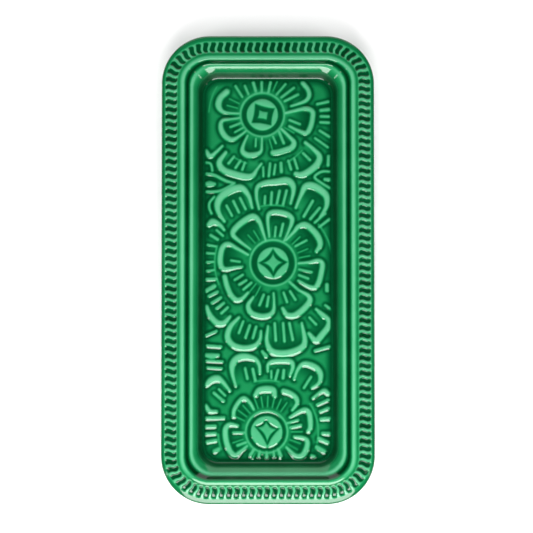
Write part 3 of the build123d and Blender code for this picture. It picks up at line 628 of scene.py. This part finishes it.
def bisque_material():
    """Bare fired clay: pale buff with fine dark grit."""
    mat = bpy.data.materials.new("bisque_clay")
    mat.use_nodes = True
    nt = mat.node_tree
    nt.nodes.clear()
    out = nt.nodes.new("ShaderNodeOutputMaterial")
    bsdf = nt.nodes.new("ShaderNodeBsdfPrincipled")
    nt.links.new(bsdf.outputs["BSDF"], out.inputs["Surface"])
    coord = nt.nodes.new("ShaderNodeTexCoord")
    cloud = nt.nodes.new("ShaderNodeTexNoise")
    set_input(cloud, "Scale", 60.0)
    set_input(cloud, "Detail", 6.0)
    nt.links.new(coord.outputs["Object"], cloud.inputs["Vector"])
    ramp = nt.nodes.new("ShaderNodeValToRGB")
    ramp.color_ramp.elements[0].position = 0.3
    ramp.color_ramp.elements[0].color = (0.47, 0.375, 0.25, 1)
    ramp.color_ramp.elements[1].position = 0.7
    ramp.color_ramp.elements[1].color = (0.56, 0.46, 0.33, 1)
    nt.links.new(cloud.outputs["Fac"], ramp.inputs["Fac"])
    grit = nt.nodes.new("ShaderNodeTexVoronoi")
    set_input(grit, "Scale", 900.0)
    nt.links.new(coord.outputs["Object"], grit.inputs["Vector"])
    speck = nt.nodes.new("ShaderNodeValToRGB")
    speck.color_ramp.elements[0].position = 0.06
    speck.color_ramp.elements[0].color = (0.55, 0.5, 0.45, 1)
    speck.color_ramp.elements[1].position = 0.16
    speck.color_ramp.elements[1].color = (1, 1, 1, 1)
    nt.links.new(grit.outputs["Distance"], speck.inputs["Fac"])
    mix = nt.nodes.new("ShaderNodeMix")
    mix.data_type = "RGBA"
    mix.blend_type = "MULTIPLY"
    mix.inputs["Factor"].default_value = 1.0
    nt.links.new(ramp.outputs["Color"], mix.inputs["A"])
    nt.links.new(speck.outputs["Color"], mix.inputs["B"])
    nt.links.new(mix.outputs["Result"], bsdf.inputs["Base Color"])
    set_input(bsdf, "Roughness", 0.86)
    bump = nt.nodes.new("ShaderNodeBump")
    set_input(bump, "Strength", 0.35)
    set_input(bump, "Distance", 0.0002)
    nt.links.new(grit.outputs["Distance"], bump.inputs["Height"])
    nt.links.new(bump.outputs["Normal"], bsdf.inputs["Normal"])
    return mat


GLAZE = glaze_material("green_glaze", False)
RIM_GLAZE = glaze_material("green_glaze_on_wall", True)
BISQUE = bisque_material()

# ---------------------------------------------------------------- the upper side's section
# (inset, level, tone): tone runs from 0, dark, to 1, pale; it is partly pooled glaze, deep in hollows
# and thin on crests, and partly painted shade on the steep wall and painted highlight on the roll and
# step crests
SECTION = [
    (0.0, 17.4, 0.36),
    (0.06, 17.95, 0.34),
    (0.25, 18.55, 0.34),
    (0.6, 19.15, 0.32),
    (1.1, 19.6, 0.34),
    (1.8, 20.02, 0.4),
    (2.6, 20.47, 0.45),
    (3.4, 20.92, 0.47),
    (4.2, 21.35, 0.48),
    (5.2, 21.75, 0.48),
    (6.4, 22.08, 0.48),
    (7.6, 22.36, 0.48),
    (8.8, 22.62, 0.48),
    (9.8, 22.82, 0.42),
    (10.5, 22.96, 0.38),
    (11.2, 23.12, 0.42),
    (11.8, 23.3, 0.52),
    (12.4, 23.52, 0.7),
    (13.0, 23.75, 0.88),
    (13.6, 23.94, 0.98),
    (14.2, 24.0, 0.94),
    (14.8, 23.65, 0.7),
    (15.4, 23.0, 0.34),
    (16.0, 22.28, 0.1),
    (16.6, 21.55, 0.02),
    (17.2, 20.82, 0.06),
    (17.8, 20.09, 0.26),
    (18.3, 19.49, 0.6),
    (18.8, 19.1, 0.9),
    (19.4, 18.9, 1.0),
    (20.0, 18.55, 0.88),
    (20.5, 18.0, 0.68),
    (21.1, 17.37, 0.52),
    (21.8, 16.58, 0.46),
    (22.5, 15.78, 0.38),
    (23.2, 14.92, 0.3),
    (23.7, 13.95, 0.2),
    (24.15, 12.75, 0.12),
    (24.5, 11.7, 0.08),
    (24.9, 10.55, 0.06),
    (25.3, 9.5, 0.06),
    (25.65, 8.88, 0.07),
    (25.95, 8.5, 0.09),
    (26.4, 8.12, 0.12),
    (SEAM, 7.9, 0.16),
]
# hidden side of that glaze, floor to lip: (inset, level)
UNDER = [
    (26.0, 6.9), (23.4, 8.4), (21.0, 13.4), (18.6, 16.6), (14.4, 21.2),
    (10.0, 20.9), (5.0, 19.6), (1.6, 18.2), (0.5, 17.3),
]


def level_of(inset):
    d = np.array([p[0] for p in SECTION])
    z = up([p[1] for p in SECTION])
    return np.interp(inset, d, z)


# ---------------------------------------------------------------- ribbed rim and wall
# sunken cells between the ridges, in mm
CELL_INNER = 10.4
CELL_OUTER = 2.3
CELL_HALF = 1.78
CELL_ROUND = 1.3
CELL_DEPTH = 0.85
# sideways sway of a cell along its length
SWAY = 0.45
SWAY_START = 2.2
SWAY_LENGTH = 8.2
# how much further in the cells and the roll are set at the two ends
DRAWN_IN = 1.15
# painted shade taken from the step and the roll, and painted reflection added to the wall, at one end or
# the other
STEP_PAINTED_SHADE = 0.24
ROLL_PAINTED_SHADE = 0.3
WALL_PAINTED_REFLECTION = 0.15
EXTRA_INSETS = [2.2, 3.0, 3.8, 4.7, 5.8, 7.0, 8.2, 9.3, 10.15]
WOBBLE = 0.05
HIDDEN_TONE = 0.3


def build_rim():
    """Glaze from the lip over ridges, roll, step and wall to the floor, with its hidden side."""
    pitch = AROUND / RIDGES
    places = np.array([0, 0.26, 0.5, 0.76, 1.15, 1.75, 2.4]) / PITCH
    one = np.concatenate([places, 1 - places[1:-1][::-1]])
    starts = (np.arange(RIDGES) + 0.5)[:, None] * pitch
    run = (starts + one[None, :] * pitch).ravel()
    lateral = np.tile(np.where(one > 0.5, one - 1, one) * PITCH, RIDGES)
    cols = len(run)
    rng = np.random.default_rng(7)
    own = np.repeat(rng.uniform(-1, 1, (RIDGES, 3)), len(one), axis=0)
    insets = [p[0] for p in SECTION]
    insets = sorted(set(insets + EXTRA_INSETS))
    # section tones: pooled glaze plus painted shade on the wall and painted highlight on the roll and
    # step crests
    tones = np.interp(insets, [p[0] for p in SECTION], [p[2] for p in SECTION])
    points, tone, satin = [], [], []
    for inset, base_tone in zip(insets, tones):
        u = np.clip((inset - SWAY_START) / SWAY_LENGTH, 0, 1)
        fade = ease((inset - 1.6) / 1.0) * ease((11.4 - inset) / 1.0)
        sway = SWAY * math.sin(2.3 * math.pi * u - 0.3) * fade
        x, y, nx, ny = outline(run, inset)
        ends = ease((np.abs(ny) - 0.3) / 0.7)
        drawn_in = DRAWN_IN * ends * ease(inset / 4.5) * (1 - ease((inset - 13) / 6.5))
        x = x - nx * drawn_in
        y = y - ny * drawn_in
        z = np.full(cols, float(level_of(inset)))
        t = np.full(cols, base_tone)
        if 1.9 < inset < 10.9:
            side = np.abs(lateral)
            cell = PITCH / 2 - side
            start = CELL_OUTER + 0.8 * ends
            middle = (CELL_INNER + start) / 2
            half_long = (CELL_INNER - start) / 2
            across = cell - CELL_HALF + CELL_ROUND
            along = np.abs(inset - middle) - half_long + CELL_ROUND
            corner = np.hypot(np.maximum(across, 0), np.maximum(along, 0))
            outward = corner - CELL_ROUND + np.minimum(np.maximum(across, along), 0)
            sink = ease((0.15 - outward) / 0.8)
            depth = CELL_DEPTH * (1 + 0.06 * own[:, 0])
            z = z - depth * sink
            # ridges paler than the cells: partly thinner glaze on the crests, partly painted highlight
            # along them
            crest = 1 - sink
            t = 0.13 + 0.7 * crest + 0.05 * own[:, 1]
            edge = np.clip(np.minimum(inset - start + 0.5, 10.9 - inset) / 1.0, 0, 1)
            t = t * edge + base_tone * (1 - edge)
        # painted shade on the step and the roll and painted reflection on the wall at the two ends, and
        # less gloss on the steep wall
        near_end = ease((ny - 0.3) / 0.6)
        far_end = ease((-ny - 0.3) / 0.6)
        step_crest = ease((inset - 17.6) / 1.0) * ease((20.8 - inset) / 1.0)
        roll_crest = ease((inset - 12.4) / 0.8) * ease((15.4 - inset) / 1.0)
        wall = ease((inset - 20.8) / 1.6) * ease((27.6 - inset) / 1.6)
        t = t - STEP_PAINTED_SHADE * near_end * step_crest - ROLL_PAINTED_SHADE * far_end * roll_crest
        t = t + WALL_PAINTED_REFLECTION * far_end * wall
        steep = ease((inset - 22.6) / 0.8) * ease((25.9 - inset) / 0.35)
        satin.append(np.full(cols, float(steep)))
        px = x + ny * sway
        py = y - nx * sway
        wobble = WOBBLE * ripple(px, py, seed=3, scale=14.0)
        points.append(np.stack([px, py, z + wobble * (inset > 1.0) * (inset < 24)], 1))
        tone.append(t + 0.05 * ripple(px, py, seed=5, scale=22.0))
    for inset, level in UNDER:
        x, y, nx, ny = outline(run, inset)
        points.append(np.stack([x, y, np.full(cols, float(up(level)))], 1))
        tone.append(np.full(cols, HIDDEN_TONE))
        satin.append(np.zeros(cols))
    rows = len(points)
    pts = np.concatenate(points)
    faces = loop_faces(rows, cols, True)
    body = make_mesh("ribbed_rim_glaze", pts, faces, np.concatenate(tone), RIM_GLAZE, CREASE)
    layer = body.data.attributes.new("satin", "FLOAT", "POINT")
    layer.data.foreach_set("value", np.concatenate(satin).astype(np.float32))
    return body


# ---------------------------------------------------------------- relief floor
FLOOR_STEP = 0.5
FLOOR_CORNER_ROWS = 26
FLOOR_UNDERSIDE = 6.95


def build_floor():
    """Floor of the well with its relief, as a grid that narrows into the corners."""
    r = radius_at(SEAM)
    hx = WIDTH / 2 - SEAM
    hy = LENGTH / 2 - SEAM
    cols = int(round(2 * hx / FLOOR_STEP)) + 1
    turn = np.linspace(0, math.pi / 2, FLOOR_CORNER_ROWS)
    low_y = -(hy - r) - r * np.sin(turn[::-1])
    top_y = (hy - r) + r * np.sin(turn)
    count = int(round(2 * (hy - r) / FLOOR_STEP)) + 1
    straight = np.linspace(-(hy - r), hy - r, count)[1:-1]
    rows_y = np.concatenate([low_y, straight, top_y])
    over = np.abs(rows_y) - (hy - r)
    wide = np.where(over > 0, hx - r + np.sqrt(np.maximum(r * r - over**2, 0)), hx)
    f = np.linspace(-1, 1, cols)
    x = wide[:, None] * f[None, :]
    y = np.repeat(rows_y[:, None], cols, axis=1)
    qx = np.abs(x) - (hx - r)
    qy = np.abs(y) - (hy - r)
    outside = np.hypot(np.maximum(qx, 0), np.maximum(qy, 0))
    margin = -(outside + np.minimum(np.maximum(qx, qy), 0) - r)
    flat = floor_height(x.ravel(), y.ravel(), margin.ravel() - 0.5, x.shape).reshape(x.shape)
    soft = soften(flat, 8)
    wider = soften(flat, 26)
    rise = 0.15 * ease(1 - margin / 1.4)
    swell = 0.05 * ripple(x, y, seed=11, scale=16.0) + 0.025 * ripple(x, y, seed=12, scale=5.0)
    z = FLOOR + soft + rise + swell * ease(margin / 2)
    high = soften(flat, 1) / RIM
    lift = np.clip((soft - wider) / 0.8, -1, 1)
    tone = 0.05 + 0.88 * np.clip(high, 0, 1) + 0.1 * lift
    tone = tone + 0.05 * ripple(x, y, seed=21, scale=20.0)
    tone = np.clip(tone, 0.0, 1.0)
    edge = ease(1 - margin / 1.0)
    tone = tone * (1 - edge) + 0.18 * edge
    rows = len(rows_y)
    pts = np.stack([x.ravel(), y.ravel(), z.ravel()], 1)
    faces = []
    for i in range(rows - 1):
        a = i * cols
        for j in range(cols - 1):
            faces.append((a + j, a + j + 1, a + cols + j + 1, a + cols + j))
    rim = list(range(cols)) + [i * cols + cols - 1 for i in range(1, rows)]
    rim += [(rows - 1) * cols + j for j in range(cols - 2, -1, -1)]
    rim += [i * cols for i in range(rows - 2, 0, -1)]
    below = pts[rim].copy()
    below[:, 2] = FLOOR_UNDERSIDE
    first = len(pts)
    count = len(rim)
    for k in range(count):
        n = (k + 1) % count
        faces.append((rim[k], first + k, first + n, rim[n]))
    faces.append(tuple(first + k for k in range(count - 1, -1, -1)))
    pts = np.vstack([pts, below])
    tone = np.concatenate([tone.ravel(), np.full(count, 0.1)])
    return make_mesh("relief_floor_glaze", pts, faces, tone, GLAZE, CREASE)


# ---------------------------------------------------------------- outside, base and clay
# (inset, level, tone) from the foot to the lip, then the hidden side as (inset, level)
OUTER = [
    (19.62, 1.15, 0.5),
    (19.3, 1.35, 0.35),
    (18.75, 2.4, 0.3),
    (18.0, 3.9, 0.32),
    (16.9, 5.9, 0.32),
    (15.6, 8.1, 0.32),
    (14.2, 10.4, 0.32),
    (12.9, 12.1, 0.32),
    (11.4, 13.4, 0.3),
    (9.8, 14.2, 0.28),
    (8.0, 14.75, 0.28),
    (6.0, 15.05, 0.3),
    (4.0, 15.2, 0.32),
    (2.4, 15.3, 0.36),
    (1.3, 15.5, 0.42),
    (0.55, 15.95, 0.44),
    (0.15, 16.6, 0.4),
    (0.02, 17.15, 0.37),
    (0.0, 17.45, 0.36),
]
OUTER_COLUMNS = 900
OUTER_BACK = [(0.6, 17.4), (1.6, 16.3), (8.2, 15.6), (12.6, 13.6), (17.4, 6.2), (19.98, 1.5)]


def build_outer():
    """Glaze on the outside, from above the foot ring to the lip, with its hidden side."""
    run = np.linspace(0, AROUND, OUTER_COLUMNS, endpoint=False)
    cols = len(run)
    points, tone = [], []
    for inset, level, t in OUTER:
        x, y, nx, ny = outline(run, inset)
        uneven = 0.04 * ripple(x, y, seed=31, scale=15.0) * (0.3 < inset < 19)
        points.append(np.stack([x, y, up(level) + uneven], 1))
        tone.append(t + 0.05 * ripple(x, y, seed=33, scale=24.0))
    for inset, level in OUTER_BACK:
        x, y, nx, ny = outline(run, inset)
        points.append(np.stack([x, y, np.full(cols, float(up(level)))], 1))
        tone.append(np.full(cols, HIDDEN_TONE))
    faces = loop_faces(len(points), cols, True)
    return make_mesh(
        "outer_glaze_coat", np.concatenate(points), faces, np.concatenate(tone), GLAZE, CREASE
    )


def capped(name, loops, tone_value, material, columns=480):
    """Closed body through outlines from the first loop to the last, each end closed flat."""
    run = np.linspace(0, AROUND, columns, endpoint=False)
    points = []
    for inset, level in loops:
        x, y, nx, ny = outline(run, inset)
        points.append(np.stack([x, y, np.full(columns, float(up(level)))], 1))
    faces = loop_faces(len(loops), columns, False)
    faces.append(tuple(range(columns - 1, -1, -1)))
    last = (len(loops) - 1) * columns
    faces.append(tuple(last + j for j in range(columns)))
    pts = np.concatenate(points)
    tone = None
    if tone_value is not None:
        tone = tone_value + 0.06 * ripple(pts[:, 0], pts[:, 1], seed=41, scale=26.0)
    return make_mesh(name, pts, faces, tone, material, CAP_CREASE)


rim = build_rim()
floor = build_floor()
outer = build_outer()
base = capped(
    "base_glaze_panel",
    [
        (27.4, 1.8), (26.6, 1.78), (25.9, 1.6), (25.3, 1.25), (24.9, 0.85),
        (24.55, 0.55), (24.3, 0.7), (24.6, 1.6), (26.0, 2.3),
    ],
    0.34,
    GLAZE,
)
clay = capped(
    "bisque_body",
    [
        (26.4, 2.0), (25.2, 1.5), (24.62, 0.9), (24.5, 0.45), (24.35, 0.16), (24.05, 0.02),
        (23.7, 0.0), (20.8, 0.0), (20.45, 0.02), (20.15, 0.16), (20.0, 0.45), (19.98, 1.3),
        (19.5, 2.4), (17.2, 6.5), (14.8, 10.6), (12.2, 13.3), (8.2, 15.3), (2.0, 15.9),
        (0.7, 16.8), (0.6, 17.6), (2.0, 19.0), (5.0, 19.9), (10.0, 21.3), (14.2, 22.6),
        (17.6, 18.2), (20.6, 15.9), (22.9, 11.4), (24.6, 8.6), (26.6, 7.2),
    ],
    None,
    BISQUE,
)

for piece, node, slot in (
    (rim, "well_glaze", "green_glaze"),
    (floor, "well_glaze", "green_glaze"),
    (outer, "outer_glaze", "green_glaze"),
    (base, "base_glaze", "green_glaze"),
    (clay, "clay_body", "bisque_clay"),
):
    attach(piece, "root")
    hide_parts(node)

# ---------------------------------------------------------------- floor, light and camera
bpy.ops.mesh.primitive_plane_add(size=6.0, location=(0, 0, -0.0002))
table = bpy.context.object
table.name = "table"
white = bpy.data.materials.new("white_table")
white.use_nodes = True
shade = white.node_tree.nodes["Principled BSDF"]
shade.inputs["Base Color"].default_value = (0.94, 0.94, 0.94, 1)
shade.inputs["Roughness"].default_value = 0.7
table.data.materials.append(white)

world = bpy.data.worlds.new("studio")
bpy.context.scene.world = world
world.use_nodes = True
world.node_tree.nodes["Background"].inputs["Color"].default_value = (1, 1, 1, 1)
world.node_tree.nodes["Background"].inputs["Strength"].default_value = 0.5
world.cycles_visibility.glossy = False
bpy.context.scene.view_settings.view_transform = "Standard"


def softbox(name, place, target, wide, tall, power):
    light = bpy.data.lights.new(name, "AREA")
    light.shape = "RECTANGLE"
    light.size = wide
    light.size_y = tall
    light.energy = power
    lamp = bpy.data.objects.new(name, light)
    bpy.context.scene.collection.objects.link(lamp)
    lamp.location = place
    lamp.rotation_mode = "QUATERNION"
    lamp.rotation_quaternion = (Vector(target) - Vector(place)).to_track_quat("-Z", "Y")
    return lamp


softbox("key", (0.0, -0.65, 0.5), (0, 0, 0), 0.75, 0.36, 8.6)
softbox("back", (0.0, 1.5, 0.42), (0, 0, 0), 2.0, 0.8, 7.0)
wash = softbox("wash", (0.0, -1.1, 1.3), (0, 0, 0), 1.4, 0.5, 3.5)
wash.visible_glossy = False
for side in (-1, 1):
    softbox("strip_%d" % (side > 0), (side * 1.25, -0.75, 1.0), (0, 0, 0), 0.12, 0.4, 1.0)
    fill = softbox("fill_%d" % (side > 0), (side * 1.3, -0.2, 1.2), (0, 0, 0), 1.2, 0.8, 13.0)
    fill.visible_glossy = False

cam = bpy.data.objects.new("camera", bpy.data.cameras.new("camera"))
bpy.context.scene.collection.objects.link(cam)
bpy.context.scene.camera = cam
DISTANCE = 0.95
VIEW_WIDTH = 0.3413
SENSOR = 36.0
TILT = math.radians(2.0)
aim = Vector((-0.0009, 0.0016, 0.0150))
back = Vector((0, -math.sin(TILT), math.cos(TILT)))
cam.location = aim + back * DISTANCE
cam.rotation_mode = "QUATERNION"
cam.rotation_quaternion = (-back).to_track_quat("-Z", "Y")
cam.data.sensor_width = SENSOR
cam.data.lens = SENSOR * DISTANCE / VIEW_WIDTH
cam.data.clip_start = 0.05
cam.data.clip_end = 20.0
